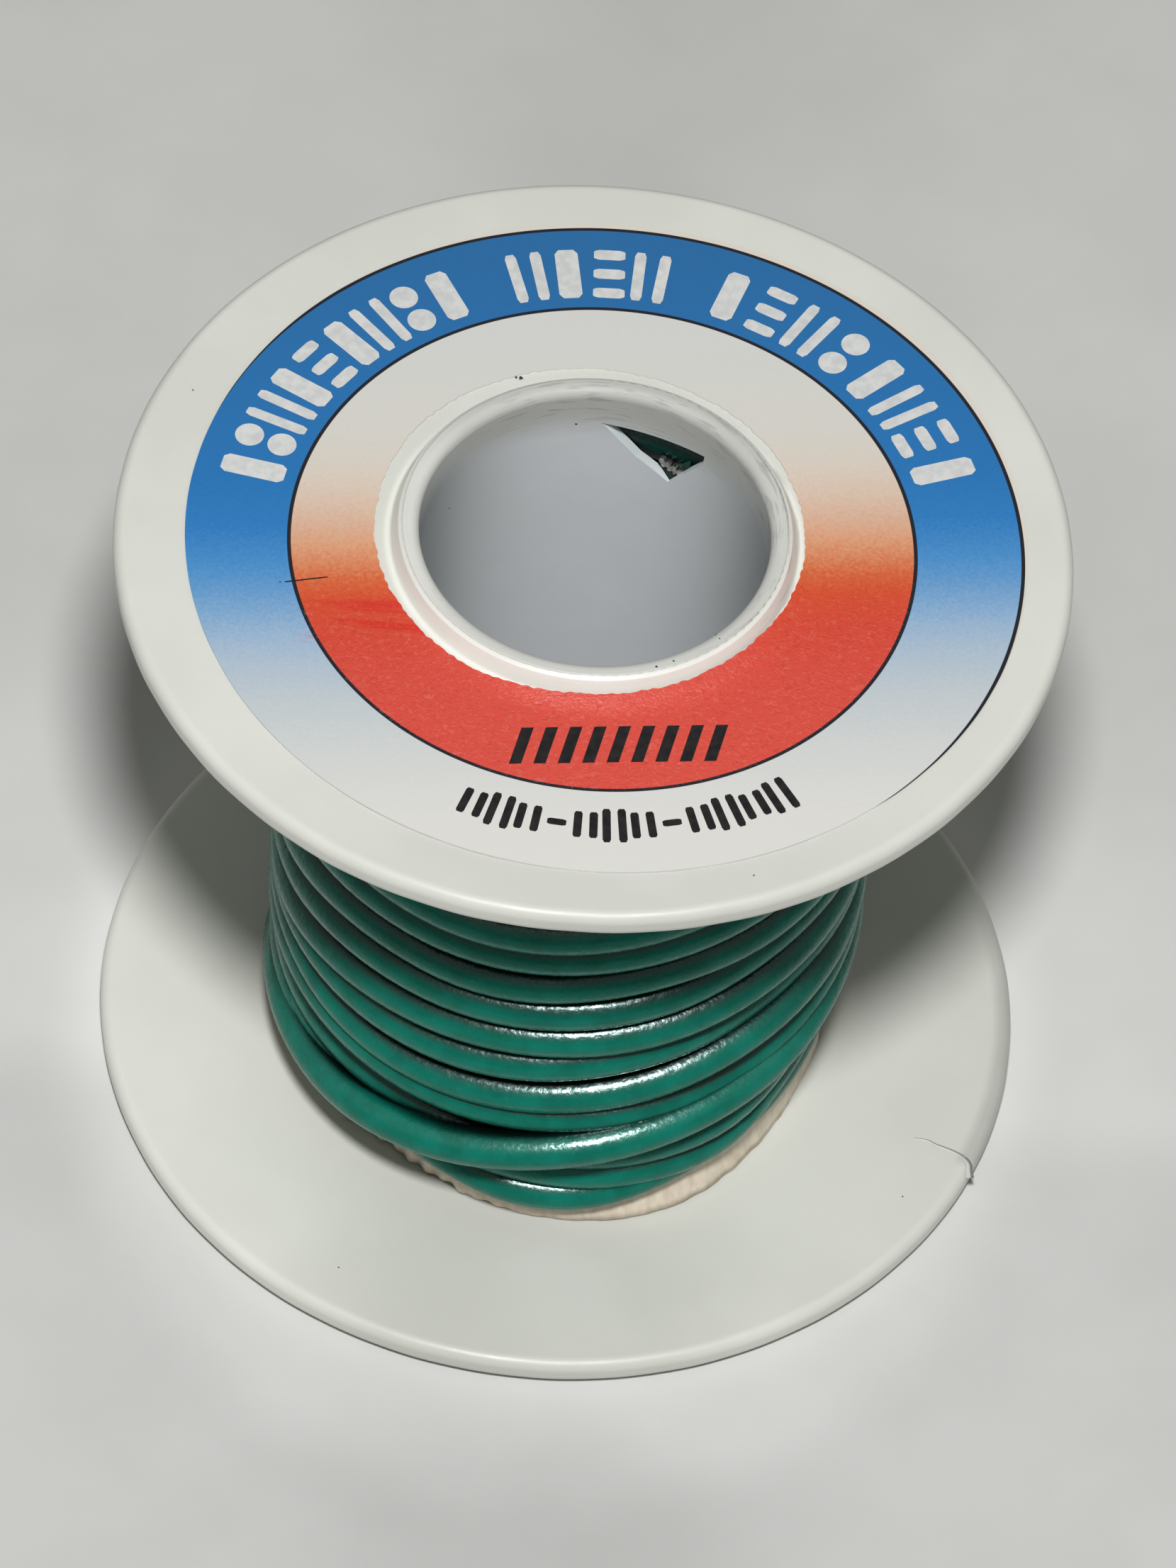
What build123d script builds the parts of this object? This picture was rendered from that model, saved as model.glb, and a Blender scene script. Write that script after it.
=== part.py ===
"""Small spool of green hook-up wire: a plastic tube and two flanges, a paper label, tape and the wire.

Z is the spool's axis, pointing up. The origin is on the axis, on the surface that the spool stands on.
Azimuths are in degrees about +Z from +X, and +Y is the far side from someone who reads the label.
"""

from build123d import *
import math
import os

# Driving dimensions, in millimetres
FLANGE_D = 50.8          # 2 in flange
FLANGE_T = 1.5
LABEL_FACE_Z = 41.3      # upper face of the top flange
FOOT = 0.25              # how far the bottom boss stands below the bottom flange
TUBE_ID = 18.6           # bore for the spindle
TUBE_WALL = 0.94
TUBE_PROUD = 1.15        # how far the tube's end stands above the top flange
WIRE_D = 2.25            # over the insulation, 20 AWG hook-up wire
STRAND_D = 0.32          # seven strands to a 20 AWG conductor
LABEL_D, LABEL_T = 44.5, 0.1
TAPE_T, TAPE_W = 0.15, 6.0

# Derived sizes
TUBE_R = TUBE_ID / 2 + TUBE_WALL
TUBE_TOP = LABEL_FACE_Z + TUBE_PROUD
FLANGE_R = FLANGE_D / 2
GAP_LOW = FOOT + FLANGE_T                # inner face of the bottom flange
GAP_HIGH = LABEL_FACE_Z - FLANGE_T       # inner face of the top flange
LAYER_STEP = WIRE_D * math.sqrt(3) / 2   # each layer's turns lie between those below
LAYER_1_R = TUBE_R + WIRE_D / 2          # middle of the wire in each layer
LAYER_2_R = LAYER_1_R + LAYER_STEP
LAYER_3_R = LAYER_2_R + LAYER_STEP
LAYER_12_R = (LAYER_1_R + LAYER_2_R) / 2 # where the envelopes of two layers meet
LAYER_23_R = LAYER_2_R + WIRE_D / 2
WINDING_R = LAYER_3_R + WIRE_D / 2

# Boss round the tube's end, on each flange's outer face
BOSS_TOP_R, BOSS_FOOT_R, BOSS_H = 10.42, 10.75, 0.94
FOOT_R, FOOT_SLOPE = 11.1, 0.3
RIM_OUTER_EDGE, RIM_INNER_EDGE = 0.6, 0.5
LIP_EDGE, FINE_EDGE = 0.6, 0.12

# Window in the tube, for the start of the wire: corners on the bore wall as (azimuth, height)
WINDOW = [(91, GAP_HIGH), (85, 38.7), (79, 37.7), (67, 36.5), (54.4, 39.1), (54, GAP_HIGH)]
WINDOW_AZIMUTH = 72.5
WINDOW_HALF_ANGLE = 18.5
WINDOW_SLOPE = 28        # its cut runs outward and down
CUT_REACH = 1.8          # how far the cutter runs to each side of the window's chord
STRAND_AZIMUTH, STRAND_Z = 67.8, 36.93
START_LENGTH, START_BURIED = 0.62, 0.5
REAR_LENGTH = 0.2        # the three strands behind the row are cut shorter
ROW_SLOPE = 21           # the row of strand ends falls to the right
ROW_STEP, ROW_GAP = 0.38, 0.3
CLEAR = 0.02             # keeps the strands off the first turn

# Label, die-cut a little off centre
LABEL_CENTRE = (0.65, -0.1)
LABEL_HOLE_D, LABEL_HOLE_CENTRE = 22.8, (-0.3, 0.45)

# Last turns, which lie loose at the bottom, and the wire's free end
LOOSE_TOP_Z = 12.4
LOOSE_R = WINDING_R + 0.35   # they bulge out a little
LOOSE_EDGE = WIRE_D * 0.4
TAIL_AZIMUTH, TAIL_LENGTH = 150, 13.0
STRANDS_OUT = 0.35
STRAND_GAP = 0.01        # keeps the strands apart, so that each stays a solid of its own


def turned(points, rounded=()):
    """A ring turned about Z from (radius, height) points. rounded holds (radius, height, edge radius)."""
    section = make_face(Polyline(*points, close=True))
    for radius, height, edge in rounded:
        corner = section.vertices().sort_by_distance((radius, height, 0))[0]
        section = fillet(corner, edge)
    return revolve(Plane.XZ * section, Axis.Z)


def annulus(inner_r, outer_r, low_z, high_z, edge=0.0):
    corners = [(inner_r, low_z), (outer_r, low_z), (outer_r, high_z), (inner_r, high_z)]
    rounded = [(outer_r, low_z, edge), (outer_r, high_z, edge)] if edge else []
    return turned(corners, rounded)


def on_circle(radius, azimuth, height):
    angle = math.radians(azimuth)
    return Vector(radius * math.cos(angle), radius * math.sin(angle), height)


def outward(azimuth, slope=0.0):
    """Unit vector pointing away from the axis and down by slope degrees."""
    fall = math.radians(slope)
    return on_circle(math.cos(fall), azimuth, -math.sin(fall))


def window_cutter():
    """The window's corners, carried along its cut right through the tube's wall."""
    bore_r = TUBE_ID / 2
    cut = outward(WINDOW_AZIMUTH, WINDOW_SLOPE)
    middle = bore_r * (1 + math.cos(math.radians(WINDOW_HALF_ANGLE))) / 2
    plane = Plane(origin=on_circle(middle, WINDOW_AZIMUTH, 0), x_dir=outward(WINDOW_AZIMUTH + 90),
                  z_dir=outward(WINDOW_AZIMUTH))
    corners = [(bore_r * math.sin(math.radians(a - WINDOW_AZIMUTH)), z) for a, z in WINDOW]
    face = plane * make_face(Polyline(*corners, close=True))
    start = Pos(*(cut * -CUT_REACH))
    return extrude(start * face, amount=2 * CUT_REACH, dir=cut)


def core_tube():
    bore_r = TUBE_ID / 2
    corners = [(bore_r, 0), (TUBE_R, 0), (TUBE_R, TUBE_TOP), (bore_r, TUBE_TOP)]
    rounded = [(bore_r, TUBE_TOP, LIP_EDGE), (bore_r, 0, LIP_EDGE), (TUBE_R, TUBE_TOP, FINE_EDGE)]
    return turned(corners, rounded) - window_cutter()


def top_flange():
    boss_z = LABEL_FACE_Z + BOSS_H
    corners = [(TUBE_R, GAP_HIGH), (FLANGE_R, GAP_HIGH), (FLANGE_R, LABEL_FACE_Z),
               (BOSS_FOOT_R, LABEL_FACE_Z), (BOSS_TOP_R, boss_z), (TUBE_R, boss_z)]
    rounded = [(FLANGE_R, GAP_HIGH, RIM_INNER_EDGE), (FLANGE_R, LABEL_FACE_Z, RIM_OUTER_EDGE),
               (BOSS_TOP_R, boss_z, FINE_EDGE)]
    return turned(corners, rounded)


def bottom_flange():
    corners = [(TUBE_R, 0), (FOOT_R, 0), (FOOT_R + FOOT_SLOPE, FOOT), (FLANGE_R, FOOT),
               (FLANGE_R, GAP_LOW), (TUBE_R, GAP_LOW)]
    rounded = [(FLANGE_R, FOOT, RIM_INNER_EDGE), (FLANGE_R, GAP_LOW, RIM_OUTER_EDGE)]
    return turned(corners, rounded)


def paper_label():
    outer = Pos(*LABEL_CENTRE) * Circle(LABEL_D / 2)
    hole = Pos(*LABEL_HOLE_CENTRE) * Circle(LABEL_HOLE_D / 2)
    return Pos(0, 0, LABEL_FACE_Z) * extrude(outer - hole, LABEL_T)


def paper_tape():
    return annulus(LAYER_23_R, LAYER_23_R + TAPE_T, GAP_LOW, GAP_LOW + TAPE_W)


def loose_turns():
    return annulus(LAYER_23_R + TAPE_T, LOOSE_R, GAP_LOW, LOOSE_TOP_Z, LOOSE_EDGE)


def tail_frame():
    """Plane across the wire where its free end leaves the winding, facing the way it runs."""
    start = on_circle(LAYER_3_R, TAIL_AZIMUTH, GAP_LOW + WIRE_D / 2)
    return Plane(origin=start, z_dir=outward(TAIL_AZIMUTH - 90))


def finish_tail():
    tail = tail_frame() * extrude(Circle(WIRE_D / 2), TAIL_LENGTH)
    core = Cylinder(LOOSE_R, 4 * WIRE_D, align=(Align.CENTER, Align.CENTER, Align.MIN))
    return tail - core


def round_bundle():
    """Middle of each strand in the conductor: one in the middle and six round it."""
    ring = [(STRAND_D * math.cos(math.radians(60 * k)), STRAND_D * math.sin(math.radians(60 * k)))
            for k in range(6)]
    return [(0, 0)] + ring


def spread_bundle():
    """The same seven strands, spread out in a row of four with three behind."""
    front = [(ROW_STEP * (k - 1.5), 0) for k in range(4)]
    rear = [(ROW_STEP * (k - 1), -ROW_GAP) for k in range(3)]
    return front, rear


def strands(plane, places, length):
    radius = STRAND_D / 2 - STRAND_GAP
    return [plane * Pos(x, y) * extrude(Circle(radius), length) for x, y in places]


def start_strands():
    """Strand ends in the window, from the tube's outer surface inward and up."""
    root = on_circle(TUBE_R - CLEAR, STRAND_AZIMUTH, STRAND_Z)
    inward = outward(WINDOW_AZIMUTH, WINDOW_SLOPE) * -1
    inside = Cylinder(TUBE_R, TUBE_TOP, align=(Align.CENTER, Align.CENTER, Align.MIN))
    plane = Plane(origin=root - inward * START_BURIED, z_dir=inward,
                  x_dir=outward(WINDOW_AZIMUTH - 90, ROW_SLOPE))
    front, rear = spread_bundle()
    solids = strands(plane, front, START_LENGTH + START_BURIED)
    solids += strands(plane, rear, REAR_LENGTH + START_BURIED)
    return Compound([solid & inside for solid in solids])


def finish_strands():
    end = tail_frame().offset(TAIL_LENGTH)
    return Compound(strands(end, round_bundle(), STRANDS_OUT))


PARTS = {
    "core_tube": core_tube,
    "top_flange": top_flange,
    "bottom_flange": bottom_flange,
    "paper_label": paper_label,
    "paper_tape": paper_tape,
    "wire_layer_inner": lambda: annulus(TUBE_R, LAYER_12_R, GAP_LOW, GAP_HIGH),
    "wire_layer_middle": lambda: annulus(LAYER_12_R, LAYER_23_R, GAP_LOW, GAP_HIGH),
    "wire_layer_outer": lambda: annulus(LAYER_23_R, WINDING_R, LOOSE_TOP_Z, GAP_HIGH),
    "wire_loose_turns": loose_turns,
    "wire_finish_tail": finish_tail,
    "start_end_strands": start_strands,
    "finish_end_strands": finish_strands,
}

os.makedirs("parts", exist_ok=True)
for name, make in PARTS.items():
    export_step(make(), f"parts/{name}.step")
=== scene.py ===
"""Looks of the wire spool: plastic, printed label, paper tape and the wound green wire."""

import math

import bmesh
import bpy
from mathutils import Matrix, Vector


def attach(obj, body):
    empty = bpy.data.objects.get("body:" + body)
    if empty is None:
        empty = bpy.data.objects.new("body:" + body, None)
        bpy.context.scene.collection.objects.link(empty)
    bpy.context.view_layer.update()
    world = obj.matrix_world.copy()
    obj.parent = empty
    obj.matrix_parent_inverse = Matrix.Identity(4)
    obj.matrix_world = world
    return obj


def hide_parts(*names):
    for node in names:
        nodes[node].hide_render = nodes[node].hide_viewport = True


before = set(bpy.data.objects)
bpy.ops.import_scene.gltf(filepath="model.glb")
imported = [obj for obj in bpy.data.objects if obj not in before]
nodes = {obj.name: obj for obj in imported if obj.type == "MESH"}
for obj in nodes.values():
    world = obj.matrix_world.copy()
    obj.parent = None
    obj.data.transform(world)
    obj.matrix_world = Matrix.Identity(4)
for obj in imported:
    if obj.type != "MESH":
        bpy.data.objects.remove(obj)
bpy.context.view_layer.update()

MM = 0.001


# ---------------------------------------------------------------- small helpers

def polar(radius, azimuth, height=0.0):
    """Point at radius and height in metres, azimuth in degrees about +Z from +X."""
    angle = math.radians(azimuth)
    return Vector((radius * math.cos(angle), radius * math.sin(angle), height))


def mix(a, b, t):
    """From a to b as t goes from 0 to 1."""
    return a + (b - a) * t


def ink(red, green, blue):
    """Linear colour from display values of 0 to 255."""
    return tuple((c / 255 / 12.92) if c < 10.31 else ((c / 255 + 0.055) / 1.055) ** 2.4
                 for c in (red, green, blue))


def wobble(azimuth, seed):
    """A smooth uneven number from -1 to 1 that repeats each turn."""
    angle = math.radians(azimuth)
    waves = ((3, 0.35), (7, 0.3), (19, 0.2), (41, 0.15))
    return sum(size * math.sin(count * angle + 2.1 * count + seed) for count, size in waves)


def along(places, azimuth):
    """Value at azimuth, read off (azimuth, value) pairs that go up and repeat each turn."""
    pairs = [(places[-1][0] - 360, places[-1][1]), *places, (places[0][0] + 360, places[0][1])]
    azimuth = (azimuth - places[0][0]) % 360 + places[0][0]
    for (start, a), (end, b) in zip(pairs, pairs[1:]):
        if start <= azimuth <= end:
            return mix(a, b, ease((azimuth - start) / (end - start)))


def ease(t):
    """0 below 0, 1 above 1 and a smooth step between them."""
    t = max(0.0, min(1.0, t))
    return t * t * (3 - 2 * t)


class Shader:
    """A node material, written as calls that return sockets."""

    def __init__(self, name):
        self.material = bpy.data.materials.new(name)
        self.material.use_nodes = True
        self.tree = self.material.node_tree
        self.tree.nodes.clear()
        self.out = self.tree.nodes.new("ShaderNodeOutputMaterial")
        self.bsdf = self.tree.nodes.new("ShaderNodeBsdfPrincipled")
        self.tree.links.new(self.bsdf.outputs[0], self.out.inputs["Surface"])
        self.coordinates = self.tree.nodes.new("ShaderNodeTexCoord").outputs["Object"]

    def put(self, socket, value):
        """Links a socket or sets a constant; a colour may leave out its alpha."""
        if isinstance(value, bpy.types.NodeSocket):
            self.tree.links.new(value, socket)
        elif isinstance(value, (tuple, list)) and len(value) == 3 and len(socket.default_value) == 4:
            socket.default_value = (*value, 1.0)
        else:
            socket.default_value = value

    def set(self, **values):
        """Puts values on the surface shader, with _ for a space in a socket's name."""
        for name, value in values.items():
            self.put(self.bsdf.inputs[name.replace("_", " ")], value)

    def math(self, operation, a, b=0.0):
        node = self.tree.nodes.new("ShaderNodeMath")
        node.operation = operation
        self.put(node.inputs[0], a)
        self.put(node.inputs[1], b)
        return node.outputs[0]

    def ramp(self, value, low, high, to_low=0.0, to_high=1.0, smooth=True):
        """to_low where value is low or less, to_high where it is high or more."""
        node = self.tree.nodes.new("ShaderNodeMapRange")
        node.interpolation_type = "SMOOTHSTEP" if smooth else "LINEAR"
        for name, x in (("Value", value), ("From Min", low), ("From Max", high),
                        ("To Min", to_low), ("To Max", to_high)):
            self.put(node.inputs[name], x)
        return node.outputs[0]

    def blend(self, factor, a, b, mode="MIX"):
        """Colour that goes from a to b with the factor, or to a times b in mode MULTIPLY."""
        node = self.tree.nodes.new("ShaderNodeMix")
        node.data_type, node.blend_type = "RGBA", mode
        self.put(node.inputs[0], factor)
        self.put(node.inputs[6], a)
        self.put(node.inputs[7], b)
        return node.outputs[2]

    def noise(self, scale, detail=2.0, stretch=(1, 1, 1), distortion=0.0):
        """Noise of about 1/scale metres a feature, stretched along an axis where stretch is under 1."""
        mapping = self.tree.nodes.new("ShaderNodeMapping")
        mapping.inputs["Scale"].default_value = stretch
        self.tree.links.new(self.coordinates, mapping.inputs["Vector"])
        node = self.tree.nodes.new("ShaderNodeTexNoise")
        self.tree.links.new(mapping.outputs[0], node.inputs["Vector"])
        for name, x in (("Scale", scale), ("Detail", detail), ("Distortion", distortion)):
            node.inputs[name].default_value = x
        return node.outputs["Fac"]

    def ring_noise(self, around, across):
        """Noise drawn out round the axis: around features to a radian, across features to a metre."""
        x, y, z = self.axes()
        place = self.tree.nodes.new("ShaderNodeCombineXYZ")
        self.put(place.inputs[0], self.math("MULTIPLY", self.math("ARCTAN2", y, x), around))
        self.put(place.inputs[1], self.math("MULTIPLY", self.length(x, y), across))
        self.put(place.inputs[2], self.math("MULTIPLY", z, across))
        node = self.tree.nodes.new("ShaderNodeTexNoise")
        self.tree.links.new(place.outputs[0], node.inputs["Vector"])
        node.inputs["Scale"].default_value = 1.0
        return node.outputs["Fac"]

    def axes(self):
        """The three coordinates, in metres, in the frame that the whole spool shares."""
        node = self.tree.nodes.new("ShaderNodeSeparateXYZ")
        self.tree.links.new(self.coordinates, node.inputs[0])
        return node.outputs

    def palette(self, value, low, high, stops):
        """Colour read off (place, colour) stops, as value goes from low to high."""
        node = self.tree.nodes.new("ShaderNodeValToRGB")
        self.put(node.inputs[0], self.ramp(value, low, high, smooth=False))
        points = node.color_ramp.elements
        for number, (place, colour) in enumerate(stops):
            point = points[number] if number < 2 else points.new(1.0)
            point.position = (place - low) / (high - low)
            point.color = (*colour, 1)
        return node.outputs[0]

    def facing_up(self):
        """1 where the surface faces up, 0 where it stands upright and -1 where it faces down."""
        node = self.tree.nodes.new("ShaderNodeSeparateXYZ")
        self.tree.links.new(self.coordinates.node.outputs["Normal"], node.inputs[0])
        return node.outputs[2]

    def turned_axes(self, centre, turn):
        """x and y about a centre, on axes turned by turn degrees about Z."""
        mapping = self.tree.nodes.new("ShaderNodeMapping")
        spin = Matrix.Rotation(math.radians(-turn), 3, "Z")
        mapping.inputs["Rotation"].default_value = (0, 0, math.radians(-turn))
        mapping.inputs["Location"].default_value = spin @ -Vector((*centre, 0))
        self.tree.links.new(self.coordinates, mapping.inputs["Vector"])
        node = self.tree.nodes.new("ShaderNodeSeparateXYZ")
        self.tree.links.new(mapping.outputs[0], node.inputs[0])
        return node.outputs[0], node.outputs[1]

    def length(self, x, y):
        squares = self.math("ADD", self.math("MULTIPLY", x, x), self.math("MULTIPLY", y, y))
        return self.math("SQRT", squares)

    def near(self, value, place, width):
        """1 where value is within width of place, with soft edges, and 0 elsewhere."""
        away = self.math("ABSOLUTE", self.math("SUBTRACT", value, place))
        return self.ramp(away, width, width * 1.4, 1.0, 0.0)

    def open_to_air(self, distance):
        """1 on open surface, falling to 0 deep in a groove between neighbours."""
        node = self.tree.nodes.new("ShaderNodeAmbientOcclusion")
        node.samples, node.only_local = 12, False
        node.inputs["Distance"].default_value = distance
        return node.outputs["AO"]

    def bump(self, height, distance, strength):
        """A normal for relief that is distance metres deep where height goes from 0 to 1."""
        node = self.tree.nodes.new("ShaderNodeBump")
        self.put(node.inputs["Height"], height)
        node.inputs["Distance"].default_value = distance
        node.inputs["Strength"].default_value = strength
        return node.outputs[0]


def new_piece(name, vertices, faces, material, slot=None, smooth=True):
    """A mesh piece. One with a slot is part of the spool; one without stands on the stage."""
    mesh = bpy.data.meshes.new(name)
    mesh.from_pydata([tuple(v) for v in vertices], [], faces)
    mesh.validate()
    mesh.update()
    if smooth:
        mesh.shade_smooth()
    else:
        mesh.shade_flat()
    mesh.materials.append(material)
    piece = bpy.data.objects.new(name, mesh)
    bpy.context.scene.collection.objects.link(piece)
    if slot:
        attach(piece, "root")
    return piece


# ---------------------------------------------------------------- materials

# The wire's is above PVC's own 1.53, with which its glints come out too weak
PLASTIC_IOR, WIRE_IOR, FILM_IOR = 1.5, 2.0, 1.48


def plastic_material(name, low, high, glow, tone=None):
    """Moulded white plastic: faint clouds in the colour, fine orange peel and soft light under the skin.

    tone(shader) gives a factor on the colour.
    """
    s = Shader(name)
    colour = s.blend(s.ramp(s.noise(90, 3), 0.35, 0.65), low, high)
    if tone:
        colour = s.blend(1.0, colour, tone(s), "MULTIPLY")
    fine = s.noise(2600, 2)
    broad = s.noise(260, 2)
    height = s.math("ADD", s.math("MULTIPLY", fine, 0.25), broad)
    s.set(Base_Color=colour, Roughness=s.ramp(s.noise(420, 3), 0.3, 0.7, 0.36, 0.46),
          Normal=s.bump(height, 0.00006, 0.35))
    s.bsdf.inputs["Subsurface Weight"].default_value = glow
    s.bsdf.inputs["Subsurface Radius"].default_value = (1.0, 0.95, 0.9)
    s.bsdf.inputs["Subsurface Scale"].default_value = 0.0005
    s.bsdf.inputs["IOR"].default_value = PLASTIC_IOR
    return s


def top_tone(s):
    """The top flange is a little greyer to the front, and painted light brightens its boss at the front and
    sides.
    """
    x, y, _ = s.axes()
    front = s.ramp(y, -25 * MM, -14 * MM, 0.91, 1.0)
    boss = s.ramp(s.length(x, y), 10.9 * MM, 11.3 * MM, 1.0, 0.0)
    # painted light: the boss's slope is brightened at the front and sides, fading out towards the back
    side = s.math("SUBTRACT", s.ramp(y, 3 * MM, 8 * MM, 0.22, 0.0), flash(s))
    return s.math("MULTIPLY", front, s.math("ADD", 1.0, s.math("MULTIPLY", boss, side)))


def flash(s):
    """Grey streaks of flash round the joint of tube and boss, faint except at the back and the right."""
    x, y, _ = s.axes()
    streaks = s.ramp(s.ring_noise(5, 5200), 0.56, 0.66)
    return s.math("MULTIPLY", streaks, s.ramp(s.math("ADD", x, y), -1 * MM, 6 * MM, 0.03, 0.20))


def bottom_tone(s):
    """Bottom flange: painted light at the left and a little at the right, greyer in the middle, worn grey
    at its right edge.
    """
    x, y, _ = s.axes()
    # painted light: brighter at the left and a little brighter at the right
    left = s.ramp(x, -19 * MM, -7 * MM, 1.13, 0.96)
    right = s.ramp(x, 6 * MM, 15 * MM, 1.0, 1.04)
    middle = s.ramp(s.math("ABSOLUTE", x), 3 * MM, 12 * MM, 0.94, 1.0)
    worn = s.ramp(s.length(x, y), 24.2 * MM, 24.95 * MM, 0.0, 0.24)
    # the worn stretch starts at the crack
    side = s.math("MULTIPLY", s.ramp(y, -9.7 * MM, -8.7 * MM), s.ramp(y, 2 * MM, 12 * MM, 1.0, 0.0))
    edge = s.math("MULTIPLY", s.math("MULTIPLY", worn, side), s.ramp(x, 10 * MM, 12 * MM))
    tone = s.math("MULTIPLY", s.math("MULTIPLY", left, right), middle)
    return s.math("MULTIPLY", tone, s.math("SUBTRACT", 1.0, edge))


def tube_material():
    """The same plastic, with painted shade on the bore's wall: greyer and bluer deep down, darker on its
    sides.

    Its lip is darker at the back, at the right and at the front, and painted light brightens the window's
    cut.
    """
    s = plastic_material("tube_plastic", (0.655, 0.66, 0.62), (0.695, 0.70, 0.66), 0.0)
    x, y, z = s.axes()
    plain = s.bsdf.inputs["Base Color"].links[0].from_socket
    front = s.ramp(y, -9 * MM, -3 * MM, 0.84, 1.0)
    back = s.ramp(y, 2 * MM, 9 * MM, 1.0, 0.71)
    right = s.ramp(x, 4 * MM, 9.5 * MM, 1.0, 0.85)
    lip_tone = s.math("MULTIPLY", s.math("MULTIPLY", front, back), right)
    radius = s.length(x, y)
    lip_tone = s.math("MULTIPLY", lip_tone, s.math("SUBTRACT", 1.0, flash(s)))
    plain = s.blend(1.0, plain, lip_tone, "MULTIPLY")
    # painted shade: the bore's wall turns grey deep down, darkest on its sides and front
    wall = s.ramp(radius, 9.32 * MM, 9.6 * MM, 1.0, 0.0)
    # the grey starts lower down at the right and at the back
    drop = s.math("ADD", s.ramp(x, 0.0, 9 * MM, 0.0, 0.7 * MM), s.ramp(y, 3 * MM, 9 * MM, 0.0, 0.9 * MM))
    deep = s.ramp(s.math("ADD", z, drop), 39.4 * MM, 42.0 * MM, 1.0, 0.0)
    far = s.ramp(y, 2.5 * MM, 9.3 * MM)
    grey = s.blend(far, (0.37, 0.39, 0.395), (0.67, 0.70, 0.72))
    grey = s.blend(s.ramp(s.noise(160, 3), 0.3, 0.7, 0.0, 0.12), grey, (0.5, 0.51, 0.5))
    colour = s.blend(s.math("MULTIPLY", wall, deep), plain, grey)
    # below the flange, only the window's cut shows outside the bore's radius
    inside = s.ramp(radius, 9.31 * MM, 9.4 * MM)
    cut = s.math("MULTIPLY", inside, s.ramp(z, 39.6 * MM, 40 * MM, 1.0, 0.0))
    # painted light: the window's cut face is painted a bright bluish white
    s.set(Base_Color=s.blend(cut, colour, (0.86, 0.93, 0.95)),
          Roughness=s.ramp(s.noise(420, 3), 0.3, 0.7, 0.5, 0.6))
    return s.material


def wire_material():
    """Green PVC: faintly mottled deep green, painted shade in its grooves, a painted sheen on top and a
    grain that breaks up its shine.
    """
    s = Shader("green_pvc")
    colour = s.blend(s.ramp(s.noise(600, 3), 0.3, 0.7), (0.002, 0.136, 0.094), (0.003, 0.178, 0.127))
    pale = s.ramp(s.noise(2400, 2), 0.66, 0.74, 0.0, 0.08)
    colour = s.blend(pale, colour, (0.10, 0.24, 0.19))
    # painted shade: the colour darkens deep in the grooves between turns
    air = s.open_to_air(1.8 * MM)
    colour = s.blend(1.0, colour, s.ramp(air, 0.52, 1.0, 0.03, 1.0), "MULTIPLY")
    # the first turn is in shade where it lies against the tube
    x, y, _ = s.axes()
    against = s.ramp(s.length(x, y), 10.55 * MM, 11.2 * MM, 0.30, 1.0)
    colour = s.blend(1.0, colour, against, "MULTIPLY")
    # painted sheen: the specular tint is full on each turn's upper side, and dies away below and in the
    # grooves
    shine = s.math("MULTIPLY", s.ramp(air, 0.20, 0.48), s.ramp(s.facing_up(), 0.44, 0.82, 0.06, 1.0))
    s.set(Specular_Tint=s.blend(shine, (0.03, 0.04, 0.04), (0.74, 1.0, 0.96)))
    grain = s.noise(3400, 2)
    height = s.math("ADD", grain, s.noise(1500, 2))
    s.set(Base_Color=colour, Roughness=s.ramp(grain, 0.3, 0.7, 0.24, 0.31),
          Normal=s.bump(height, 0.000025, 1.0))
    s.bsdf.inputs["IOR"].default_value = WIRE_IOR
    return s.material


# Print on the label, in metres and degrees: both rings fade down the label, which sits a little turned
PRINT_CENTRE = (0.457 * MM, -0.432 * MM)
PRINT_TURN = 7.2
RING_LINES = (16.56 * MM, 22.25 * MM)
BLUE_FADE = ((-18, ink(211, 210, 206)), (-14, ink(202, 204, 202)), (-10.5, ink(187, 195, 199)),
             (-7.5, ink(167, 184, 200)), (-5.8, ink(148, 175, 202)), (-4.2, ink(122, 162, 200)),
             (-2.8, ink(98, 150, 198)), (-1.2, ink(72, 138, 196)), (1.5, ink(44, 120, 186)),
             (5, ink(36, 112, 176)), (20, ink(38, 104, 160)))
RED_FADE = ((-16, ink(211, 76, 63)), (-9, ink(209, 74, 60)), (-5.5, ink(207, 70, 50)),
            (-3.5, ink(207, 76, 44)), (-2.3, ink(208, 96, 56)), (-1.1, ink(210, 128, 88)),
            (0.3, ink(214, 155, 120)), (1.7, ink(211, 172, 147)), (3.2, ink(212, 187, 168)),
            (5.2, ink(211, 200, 187)), (8, ink(208, 205, 198)), (14, ink(206, 207, 203)))


def metres(stops):
    """The stops, with their places turned from millimetres into metres."""
    return [(place * MM, colour) for place, colour in stops]


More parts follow.
